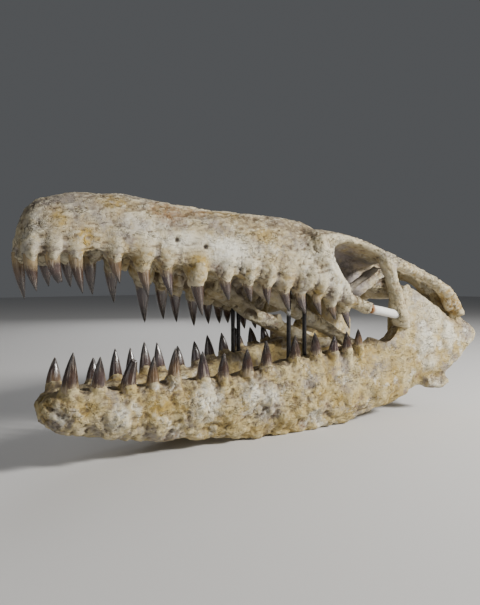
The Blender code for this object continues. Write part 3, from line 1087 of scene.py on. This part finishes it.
class SharedEffects:
    """The shader groups that more than one finish uses."""

    def __init__(self) -> None:
        """Builds each group once."""
        self.cracks = self.make_cracks()
        self.grit = self.make_grit()
        self.mottle = self.make_mottle()

    @staticmethod
    def make_cracks() -> bpy.types.NodeTree:
        """Hairline cracks, as masks: a broken net of small cells, and long ones along the bone.

        Returns:
            The group.
        """
        wiring, inputs, outputs = new_group(
            "dried_cracks", {"Place": VECTOR, "Scale": FLOAT, "Width": FLOAT, "Share": FLOAT},
            {"Net": FLOAT, "Long": FLOAT})
        place = inputs["Place"]
        warp = wiring.add("ShaderNodeTexNoise", {"Vector": place, "Scale": 85, "Detail": 5})
        bent = wiring.add(
            "ShaderNodeVectorMath", {0: warp.outputs["Color"], 1: (0.022, 0.016, 0.016), 2: place},
            operation="MULTIPLY_ADD")
        distance = wiring.cells(bent.outputs[0], inputs["Scale"], "DISTANCE_TO_EDGE")
        line = wiring.ramp(distance, inputs["Width"], 0.0)
        limit = wiring.less(1.0, inputs["Share"])
        kept = wiring.ramp(wiring.less(wiring.noise(place, 48, 4), limit), 0.0, 0.08)
        wiring.feed(outputs["Net"], wiring.times(line, kept))
        wander = wiring.noise(wiring.stretch(place, 0.38), 46, 6, 0.66)
        trace = wiring.ramp(wiring.math("ABSOLUTE", wiring.less(wander, 0.5)), 0.009, 0.0)
        broken = wiring.ramp(wiring.noise(place, 38, 3), 0.44, 0.56)
        wiring.feed(outputs["Long"], wiring.times(trace, broken))
        return wiring.tree

    @staticmethod
    def make_grit() -> bpy.types.NodeTree:
        """Height of small grains, with masks for pores and for scratches along the bone.

        Returns:
            The group.
        """
        wiring, inputs, outputs = new_group(
            "grit", {"Place": VECTOR, "Scale": FLOAT}, {"Height": FLOAT, "Pores": FLOAT, "Scratches": FLOAT})
        place, scale = inputs["Place"], inputs["Scale"]
        coarse = wiring.noise(place, wiring.times(scale, 0.35), 5, 0.7)
        pores = wiring.ramp(wiring.cells(place, scale, "F1"), 0.36, 0.12)
        holes = wiring.times(pores, wiring.ramp(wiring.noise(place, 90, 2), 0.52, 0.62))
        fibres = wiring.noise(wiring.stretch(place, 0.22), scale, 4, 0.6)
        wiring.feed(outputs["Scratches"], wiring.ramp(fibres, 0.54, 0.68))
        wiring.feed(outputs["Pores"], holes)
        wiring.feed(outputs["Height"], wiring.less(coarse, wiring.times(holes, 0.6)))
        return wiring.tree

    @staticmethod
    def make_mottle() -> bpy.types.NodeTree:
        """Two scales of cloudy tone, as masks from 0 to 1.

        Returns:
            The group.
        """
        wiring, inputs, outputs = new_group(
            "mottle", {"Place": VECTOR, "Scale": FLOAT}, {"Broad": FLOAT, "Fine": FLOAT})
        place, scale = inputs["Place"], inputs["Scale"]
        wiring.feed(outputs["Broad"], wiring.ramp(wiring.noise(place, scale, 5, 0.62), 0.38, 0.64))
        fine = wiring.noise(place, wiring.times(scale, 6.3), 5, 0.65)
        wiring.feed(outputs["Fine"], wiring.ramp(fine, 0.34, 0.68))
        return wiring.tree


def new_material(name: str) -> tuple[bpy.types.Material, Wiring, Node]:
    """Makes a material.

    Args:
        name: Its name.

    Returns:
        The material, its wiring and its Principled shader.
    """
    made = bpy.data.materials.new(name)
    made.use_nodes = True
    return made, Wiring(made.node_tree), made.node_tree.nodes["Principled BSDF"]


@dataclass(frozen=True)
class BoneFinish:
    """Dry fossil bone: cream to greyish, stained and cracked, darker in its hollows from grime and painted
    shade, with more painted shade on its tops, flutes and pits.
    """

    name: str
    cream: Colour = (0.42, 0.335, 0.175)
    pale: Colour = (0.66, 0.60, 0.43)
    lilac: Colour = (0.30, 0.27, 0.25)
    ochre: Colour = (0.40, 0.27, 0.06)
    rust: Colour = (0.24, 0.125, 0.035)
    white: Colour = (0.78, 0.76, 0.65)
    # Greyish staining and scratches, and painted shade in the flutes and low on the jaws
    grey_stain_and_shade: Colour = (0.27, 0.245, 0.22)
    # Dark tone of grime and cracks, also used for painted shade in hollows and, darker still, in pits
    dirt_and_shade: Colour = (0.10, 0.065, 0.035)
    shade: Colour = (0.36, 0.325, 0.32)
    # Weathering spots, and painted shade on surfaces that face up
    weathered_and_top_shade: Colour = (0.165, 0.12, 0.07)
    roughness: float = 0.7
    mottle_scale: float = 17.0
    crack_scale: float = 88.0
    crack_width: float = 0.07
    crack_share: float = 0.42
    grit_scale: float = 420.0
    specular: float = 0.35
    bump: float = 0.0016

    def base_tones(self, wiring: Wiring, effects: SharedEffects, place: Socket) -> Socket:
        """The cloudy ground colour of the bone.

        Args:
            wiring: The material's wiring.
            effects: The shared shader groups.
            place: The place on the object.

        Returns:
            The colour.
        """
        cloud = wiring.group(effects.mottle, Place=place, Scale=self.mottle_scale)
        colour = wiring.mix(cloud.outputs["Broad"], self.cream, self.pale)
        colour = wiring.tint(colour, cloud.outputs["Fine"], 0.5, self.cream)
        for scale, low, high, strength, tone in (
                (17, 0.48, 0.62, 0.85, self.ochre), (23, 0.50, 0.62, 0.85, self.lilac),
                (46, 0.56, 0.70, 0.8, self.rust), (34, 0.53, 0.64, 0.7, self.white),
                (60, 0.54, 0.70, 0.55, self.weathered_and_top_shade), (120, 0.55, 0.72, 0.5, self.pale)):
            spot = wiring.ramp(wiring.noise(place, scale, 7, 0.72), low, high)
            colour = wiring.tint(colour, spot, strength, tone)
        return colour

    def build(self, effects: SharedEffects) -> bpy.types.Material:
        """Makes the material.

        Args:
            effects: The shared shader groups.

        Returns:
            The material.
        """
        made, wiring, shader = new_material(self.name)
        place = wiring.place()
        colour = self.base_tones(wiring, effects, place)
        frayed = wiring.ramp(wiring.noise(place, 150, 6, 0.72), 0.30, 0.58)
        # The first of these darkens surfaces that face up: weathering and painted shade
        for mask, stain_and_painted_light, strength in (
                ("upward", self.weathered_and_top_shade, 1.0), ("white", self.white, 0.95), ("grey_stain_and_shade", self.grey_stain_and_shade, 0.9),
                ("ochre", self.ochre, 1.0), ("rust", self.rust, 1.0)):
            amount = wiring.times(wiring.mask(mask), strength)
            colour = wiring.mix(wiring.times(amount, frayed), colour, stain_and_painted_light)
        # Darker in hollows and paler on ridges: partly grime and wear, partly painted shade in the hollows
        # and painted light on the ridges
        hollow = wiring.ramp(wiring.mask("hollow"), 0.54, 0.86)
        broad = wiring.ramp(wiring.mask("broad_hollow"), 0.55, 0.95)
        dirt_and_shade = wiring.math("MAXIMUM", hollow, wiring.times(broad, 0.65))
        ridge = wiring.ramp(wiring.mask("hollow"), 0.46, 0.16)
        cracks = wiring.group(
            effects.cracks, Place=place, Scale=self.crack_scale, Width=self.crack_width,
            Share=self.crack_share)
        lines = wiring.math("MAXIMUM", cracks.outputs["Net"], cracks.outputs["Long"])
        grit = wiring.group(effects.grit, Place=place, Scale=self.grit_scale)
        for mask, share, tone in (
                (wiring.mask("plate"), 0.75, self.white), (dirt_and_shade, 0.68, self.dirt_and_shade), (ridge, 0.5, self.pale),
                (lines, 0.66, self.dirt_and_shade), (grit.outputs["Scratches"], 0.14, self.grey_stain_and_shade),
                (grit.outputs["Pores"], 0.4, self.dirt_and_shade), (wiring.mask("shade"), 0.94, self.shade)):
            colour = wiring.tint(colour, mask, share, tone)
        # Painted shade, near black, in the pits and on the strut inside the eye socket
        colour = wiring.mix(wiring.mask("pit_shade"), colour, tuple(0.3 * c for c in self.dirt_and_shade))
        wiring.feed(shader.inputs["Base Color"], colour)
        shader.inputs["Roughness"].default_value = self.roughness
        shader.inputs["Specular IOR Level"].default_value = self.specular
        height = wiring.less(grit.outputs["Height"], wiring.times(lines, 0.9))
        height = wiring.less(height, wiring.times(grit.outputs["Scratches"], 0.35))
        wiring.bump(shader, height, self.bump)
        return made


@dataclass(frozen=True)
class EnamelFinish:
    """Glossy fossil enamel: bone-coloured or amber at the root, brown above, streaked lengthwise, its pale
    streaks partly painted highlights.
    """

    name: str = "tooth_enamel"
    root: Colour = (0.33, 0.25, 0.13)
    amber: Colour = (0.15, 0.085, 0.033)
    brown: Colour = (0.052, 0.025, 0.014)
    violet: Colour = (0.066, 0.041, 0.044)
    tip: Colour = (0.014, 0.010, 0.009)
    # Pale streaks of the enamel, also used as painted highlights
    pale_streak_and_highlight: Colour = (0.38, 0.32, 0.26)
    roughness: float = 0.25
    coat: float = 0.9
    coat_roughness: float = 0.15
    bump: float = 0.0006

    def build(self) -> bpy.types.Material:
        """Makes the material.

        Returns:
            The material.
        """
        made, wiring, shader = new_material(self.name)
        rise, turn = wiring.mask("rise"), wiring.mask("turn")
        tone, amber, seed = wiring.mask("tone"), wiring.mask("amber"), wiring.mask("seed")
        sweep = wiring.add("ShaderNodeCombineXYZ", {
            0: wiring.times(turn, 15.0), 1: wiring.times(rise, 0.9), 2: wiring.times(seed, 60.0)})
        streaks = wiring.noise(sweep.outputs[0], 1.7, 5, 0.75)
        blotch = wiring.noise(wiring.place(), 130, 5, 0.65)
        cloudy = wiring.plus(wiring.times(tone, 0.6), wiring.times(streaks, 0.5))
        colour = wiring.mix(wiring.ramp(cloudy, 0.3, 0.8), self.brown, self.violet)
        level = wiring.plus(wiring.times(blotch, 0.5), wiring.times(streaks, 0.35))
        warm = wiring.ramp(amber, 0.45, 0.95)
        reach = wiring.plus(wiring.times(warm, 0.75), level)
        golden = wiring.ramp(wiring.less(reach, rise), 0.05, 0.55)
        rooted = wiring.ramp(wiring.less(level, rise), -0.05, 0.25)
        for mask, share, stain_and_painted_light in (
                (golden, 0.8, self.amber), (rooted, 0.9, self.root),
                (wiring.ramp(rise, 0.6, 1.0), 0.8, self.tip),
                # Pale streaks, partly the enamel's own and partly painted highlights
                (wiring.ramp(streaks, 0.55, 0.64), 0.75, self.pale_streak_and_highlight),
                (wiring.ramp(streaks, 0.47, 0.34), 0.6, self.tip)):
            colour = wiring.tint(colour, mask, share, stain_and_painted_light)
        wiring.feed(shader.inputs["Base Color"], colour)
        rough = wiring.plus(wiring.times(blotch, 0.2), self.roughness - 0.1)
        wiring.feed(shader.inputs["Roughness"], rough)
        shader.inputs["Coat Weight"].default_value = self.coat
        shader.inputs["Coat Roughness"].default_value = self.coat_roughness
        wiring.bump(shader, streaks, self.bump)
        return made


@dataclass(frozen=True)
class PlasterFinish:
    """Matt white plaster, a little chalky, with glue at its front end."""

    name: str = "cheek_plaster"
    white: Colour = (0.82, 0.81, 0.77)
    dust: Colour = (0.58, 0.53, 0.44)
    glue: Colour = (0.30, 0.13, 0.035)
    roughness: float = 0.62
    bump: float = 0.0004

    def build(self, effects: SharedEffects) -> bpy.types.Material:
        """Makes the material.

        Args:
            effects: The shared shader groups.

        Returns:
            The material.
        """
        made, wiring, shader = new_material(self.name)
        place = wiring.place()
        cloud = wiring.group(effects.mottle, Place=place, Scale=60.0)
        colour = wiring.mix(wiring.times(cloud.outputs["Broad"], 0.30), self.white, self.dust)
        grit = wiring.group(effects.grit, Place=place, Scale=700.0)
        colour = wiring.tint(colour, grit.outputs["Pores"], 0.35, self.dust)
        colour = wiring.mix(wiring.mask("end"), colour, self.glue)
        wiring.feed(shader.inputs["Base Color"], colour)
        shader.inputs["Roughness"].default_value = self.roughness
        wiring.bump(shader, grit.outputs["Height"], self.bump)
        return made


@dataclass(frozen=True)
class SteelFinish:
    """Thin rods of dark steel, painted black and slightly worn, with a pale fitting on one that is partly a
    painted glint.
    """

    name: str = "support_black"
    black: Colour = (0.018, 0.018, 0.021)
    worn: Colour = (0.10, 0.09, 0.08)
    joint_and_glint: Colour = (0.75, 0.74, 0.70)
    roughness: float = 0.26

    def build(self, effects: SharedEffects) -> bpy.types.Material:
        """Makes the material.

        Args:
            effects: The shared shader groups.

        Returns:
            The material.
        """
        made, wiring, shader = new_material(self.name)
        place = wiring.place()
        cloud = wiring.group(effects.mottle, Place=place, Scale=90.0)
        colour = wiring.mix(wiring.times(cloud.outputs["Fine"], 0.4), self.black, self.worn)
        # Pale band at one fitting, partly a painted glint
        wiring.feed(shader.inputs["Base Color"], wiring.mix(wiring.mask("end"), colour, self.joint_and_glint))
        rough = wiring.plus(self.roughness, wiring.times(cloud.outputs["Broad"], 0.16))
        wiring.feed(shader.inputs["Roughness"], rough)
        shader.inputs["Metallic"].default_value = 0.5
        return made


# The skull

# Staining and painted shade, as patches for each mask
LEFT_STAINS_AND_SHADE: dict[str, tuple[Patch, ...]] = {
    "rust": patches(
        (-199, -42, 296, 20, 30, 10), (-234, -36, 288, 26, 30, 12, 0.8), (250, -124, 172, 22, 26, 24, 0.6),
        (139, -112, 154, 6, 8, 12, 0.8), (70, -96, 166, 8, 18, 10), (30, -86, 200, 8, 20, 20, 0.5)),
    "ochre": patches(
        (-360, -25, 272, 12, 20, 14, 0.8), (-334, -28, 252, 16, 24, 18), (-298, -32, 292, 24, 30, 12, 0.7),
        (-199, -47, 224, 16, 24, 26, 1.15), (-266, -38, 222, 14, 24, 18, 0.9),
        (-238, -42, 214, 12, 24, 14, 0.6), (-71, -72, 203, 12, 24, 16, 0.8),
        (-25, -80, 187, 10, 24, 14, 0.8), (-110, -65, 265, 20, 26, 12, 0.7),
        (36, -90, 175, 16, 20, 12, 0.7), (-150, -30, 300, 30, 30, 14, 0.6), (246, -124, 176, 34, 26, 30)),
    "white": patches(
        (-389, -22, 250, 12, 22, 18, 0.6), (-261, -37, 268, 26, 24, 14, 0.6),
        (-170, -54, 245, 38, 30, 19, 1.15), (-228, -42, 254, 16, 24, 12, 0.8),
        (12, -86, 226, 38, 30, 36, 0.9), (-40, -74, 232, 28, 26, 24, 0.5)),
    "plate": patches(
        (-150, -58, 240, 32, 30, 20, 0.6), (-206, -46, 254, 26, 30, 12, 0.7)),
    "shade": patches(
        (40, -16, 228, 84, 50, 62, 1.15), (90, -38, 200, 70, 48, 42), (-60, -24, 215, 60, 40, 40, 0.6)),
    "grey_stain_and_shade": patches(
        (-352, -22, 278, 54, 40, 40, 0.8), (-372, -22, 268, 14, 20, 12, 0.8),
        (-318, -28, 262, 66, 40, 36, 0.5), (-380, -20, 236, 22, 30, 22, 0.6),
        (-270, -20, 306, 60, 40, 12, 0.6)),
    # Painted shade, near black: in the two small pits and on the strut seen through the eye socket
    "pit_shade": patches(
        (-228, -42, 255, 3.6, 14, 3.2, 1.3), (-191, -49, 248, 3.6, 14, 3.2, 1.3),
        (94, -58, 206, 46, 34, 36, 0.75)),
}

JAW_STAINS_AND_SHADE: dict[str, tuple[Patch, ...]] = {
    "white": patches(
        (-301, -32, 56, 14, 30, 14), (-193, -49, 58, 22, 30, 20), (-129, -62, 62, 17, 30, 15),
        (-102, -67, 59, 11, 30, 13, 0.9), (190, -108, 160, 50, 40, 34, 0.35)),
    "plate": patches(
        (182, -116, 112, 22, 30, 25), (232, -126, 121, 17, 30, 27, 0.9), (194, -119, 78, 17, 30, 15, 0.85)),
    # Partly greyish staining, partly painted shade on the front and lower parts of the jaw
    "grey_stain_and_shade": patches(
        (64, -95, 74, 26, 30, 9, 0.5), (100, -101, 82, 22, 30, 9, 0.5), (24, -88, 58, 22, 30, 12, 0.4),
        (227, -125, 43, 18, 30, 9, 0.6), (-372, -24, 66, 22, 30, 34, 0.6),
        (-322, -30, 44, 44, 30, 20, 0.5)),
    "ochre": patches(
        (-285, -34, 92, 16, 24, 12), (-373, -24, 79, 10, 24, 14, 0.6), (-337, -28, 69, 14, 24, 12, 0.8),
        (-250, -38, 62, 20, 24, 12), (71, -96, 104, 30, 24, 11, 0.6), (111, -103, 133, 20, 24, 13, 0.8),
        (-3, -84, 40, 24, 24, 12, 0.5)),
}


def mirrored(stains_and_shade: dict[str, tuple[Patch, ...]], weaken: float = 0.8) -> dict[str, tuple[Patch, ...]]:
    """The same staining and painted shade on the other side, moved a little and weaker.

    Args:
        stains_and_shade: Each mask's patches.
        weaken: The share of their amount that they keep.

    Returns:
        Each mask's patches on the other side.
    """
    return {mask: tuple(
        Patch((p.centre[0] + 14, -p.centre[1], p.centre[2] - 6), p.reach, weaken * p.amount) for p in patches)
        for mask, patches in stains_and_shade.items()}


def both_sides(stains_and_shade: dict[str, tuple[Patch, ...]]) -> dict[str, tuple[Patch, ...]]:
    """The staining and painted shade of the left side and those of the right."""
    other = mirrored(stains_and_shade)
    return {mask: patches + other[mask] for mask, patches in stains_and_shade.items()}


@dataclass
class Skull:
    """The whole specimen: bones, crowns, cheek rods and supports."""

    effects: SharedEffects = field(default_factory=SharedEffects)
    crowns: CrownMaker = field(default_factory=CrownMaker)
    body: str = "root"

    def settle(self, piece: Piece, material: bpy.types.Material, slot: str, *nodes: str) -> None:
        """Gives a finished piece its material and its place in the frame.

        Args:
            piece: The piece.
            material: Its finish.
            slot: The name of a material slot; it is not used.
            nodes: The solids that it stands for.
        """
        piece.data.materials.clear()
        piece.data.materials.append(material)
        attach(piece, self.body)
        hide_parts(*nodes)
        LOG.info("%s: %d faces, for %s", piece.name, len(piece.data.polygons), ", ".join(nodes))

    def build_cranium(self) -> None:
        """The cranium, without its crowns."""
        finish = BoneFinish("skull_bone").build(self.effects)
        bone = Cranium(
            "skull_cranium", ("cranium",), (UPPER_LEFT, UPPER_RIGHT), stains_and_shade=both_sides(LEFT_STAINS_AND_SHADE))
        piece = bone.skin()
        bone.dress(piece)
        self.settle(piece, finish, "skull_bone", "cranium")

    def build_jaw(
        self, side: Side, row: ToothRow, finish: bpy.types.Material, crust: bpy.types.Material
    ) -> None:
        """One lower jaw with its quadrate.

        Args:
            side: The animal's side.
            row: Its teeth.
            finish: The jaw's finish.
            crust: The quadrate's finish.
        """
        word = side.name.lower()
        stains_and_shade = JAW_STAINS_AND_SHADE if side is Side.LEFT else mirrored(JAW_STAINS_AND_SHADE)
        bone = LowerJaw(
            f"{word}_lower_jaw", (f"{word}_mandible", f"{word}_quadrate"), (row,), voxel=1.8, fluting=1.6,
            collar_levels=((19.0, 2.0), (7.0, 1.42)), arch_depth=(-3.0, 0.25, 3.0),
            stains_and_shade=stains_and_shade, side=side)
        piece = bone.skin()
        bone.dress(piece)
        quadrate = bone.split(piece, f"{word}_quadrate_mass")
        self.settle(piece, finish, "jaw_bone", f"{word}_mandible")
        self.settle(quadrate, crust, "matrix", f"{word}_quadrate")

    def build_crowns(self) -> None:
        """The four rows of crowns."""
        enamel = EnamelFinish().build()
        for row, name, node in (
                (UPPER_LEFT, "upper_left_crowns", "cranium"), (UPPER_RIGHT, "upper_right_crowns", "cranium"),
                (LOWER_LEFT, "lower_left_crowns", "left_mandible"),
                (LOWER_RIGHT, "lower_right_crowns", "right_mandible")):
            self.settle(self.crowns.fit(row, name), enamel, "enamel", node)
        bpy.data.objects.remove(self.crowns.template)

    def build_rods(self) -> None:
        """The plaster cheek rods and the four steel supports."""
        plaster, steel = PlasterFinish().build(self.effects), SteelFinish().build(self.effects)
        for side in Side:
            start, end = ((x, side.value * y, z) for x, y, z in CHEEK_ROD)
            rod = Rod(f"{side.name.lower()}_cheek_rod", start, end, radius=6.5, bevel=1.2, wobble=0.35)
            piece = rod.build()
            points = places_of(piece)
            write_mask(piece, "end", (GLUE_FRONT - points[:, 0] + 2 * waves(points, 7, 2, 1.1)) / 3)
            self.settle(piece, plaster, "plaster", rod.node)
        for node, x, y, low, high in SUPPORTS:
            piece = Rod(node, (x, y, low), (x, y, high), radius=3.0, bevel=0.5).build()
            # The pale fitting on the near support, partly a painted glint
            joint_and_glint = np.abs(places_of(piece)[:, 2] - JOINT_HEIGHT) < JOINT_HALF
            write_mask(piece, "end", joint_and_glint * float(node == "left_front_support"))
            self.settle(piece, steel, "support_steel", node)

    def build(self) -> None:
        """Builds every piece."""
        self.build_cranium()
        jaw, crust = (
            BoneFinish(
                name, cream=cream, pale=pale, roughness=0.8, mottle_scale=20.0, crack_scale=30.0,
                crack_share=0.34, grit_scale=330.0, bump=bump).build(self.effects)
            for name, cream, pale, bump in (
                ("jaw_bone", (0.43, 0.315, 0.12), (0.63, 0.54, 0.31), 0.0024),
                ("quadrate_matrix", (0.45, 0.35, 0.17), (0.65, 0.58, 0.38), 0.0020)))
        self.build_jaw(Side.LEFT, LOWER_LEFT, jaw, crust)
        self.build_jaw(Side.RIGHT, LOWER_RIGHT, jaw, crust)
        self.build_crowns()
        self.build_rods()


# The studio

@dataclass(frozen=True)
class SoftBox:
    """One rectangular light: where it stands, what it faces, its size and its power."""

    name: str
    place: Triple
    size: tuple[float, float]
    power: float
    target: Triple = (0, 0, 0.15)
    colour: Colour = (1, 1, 1)

    def build(self) -> None:
        """Adds the light."""
        lamp = bpy.data.lights.new(self.name, "AREA")
        lamp.shape = "RECTANGLE"
        lamp.size, lamp.size_y = self.size
        lamp.energy = self.power
        lamp.color = self.colour
        made = add_object(self.name, lamp)
        made.location = self.place
        made.rotation_euler = (Vector(self.target) - Vector(self.place)).to_track_quat("-Z", "Y").to_euler()


@dataclass
class Studio:
    """The floor, the lights and the camera."""

    eye: Triple = (-570, -564, 208)
    heading: float = 40.0
    focal_pixels: float = 529.0
    long_side: float = 605.0
    horizon: float = 280.0
    floor_size: float = 12.0
    floor_colour: Colour = (0.62, 0.61, 0.60)
    world_colour: Colour = (0.75, 0.78, 0.82)
    world_strength: float = 0.12

    def camera(self) -> None:
        """Sets the camera where the photographer stood."""
        lens = bpy.data.cameras.new("view")
        lens.sensor_fit = "AUTO"
        lens.sensor_width = 36.0
        lens.lens = self.focal_pixels * lens.sensor_width / self.long_side
        made = add_object("view", lens)
        made.location = AXES.place(self.eye)
        dip = math.atan((self.long_side / 2 - self.horizon) / self.focal_pixels)
        made.rotation_euler = (math.pi / 2 - dip, 0, -math.radians(self.heading))
        bpy.context.scene.camera = made

    def floor(self) -> None:
        """Lays a plain pale floor."""
        bpy.ops.object.select_all(action="DESELECT")
        bpy.ops.mesh.primitive_plane_add(size=self.floor_size, location=(0, 0, 0))
        made = bpy.context.active_object
        made.name = "floor"
        material, _, shader = new_material("floor_paint")
        shader.inputs["Base Color"].default_value = (*self.floor_colour, 1)
        shader.inputs["Roughness"].default_value = 0.85
        made.data.materials.append(material)

    def lights(self) -> None:
        """Hangs the soft boxes and sets a dim pale world."""
        world = bpy.data.worlds.new("studio")
        world.use_nodes = True
        background = world.node_tree.nodes["Background"]
        background.inputs["Color"].default_value = (*self.world_colour, 1)
        background.inputs["Strength"].default_value = self.world_strength
        bpy.context.scene.world = world
        for box in (
                SoftBox("key", (0.98, -1.36, 1.03), (0.35, 0.35), 66.0, colour=(1.0, 0.98, 0.94)),
                SoftBox("fill", (-1.5, -0.8, 0.7), (0.8, 0.8), 2.6),
                SoftBox("top", (0.3, 0.5, 1.9), (1.0, 1.0), 3.0),
                SoftBox("back", (0.9, 1.5, 1.0), (1.0, 1.0), 9.0)):
            box.build()

    def build(self) -> None:
        """Sets up everything round the skull."""
        self.camera()
        self.floor()
        self.lights()


def main() -> None:
    """Builds the skull and its studio."""
    logging.basicConfig(level=logging.INFO, format="%(name)s: %(message)s")
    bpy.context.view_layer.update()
    Studio().build()
    Skull().build()


if __name__ == "__main__":
    main()
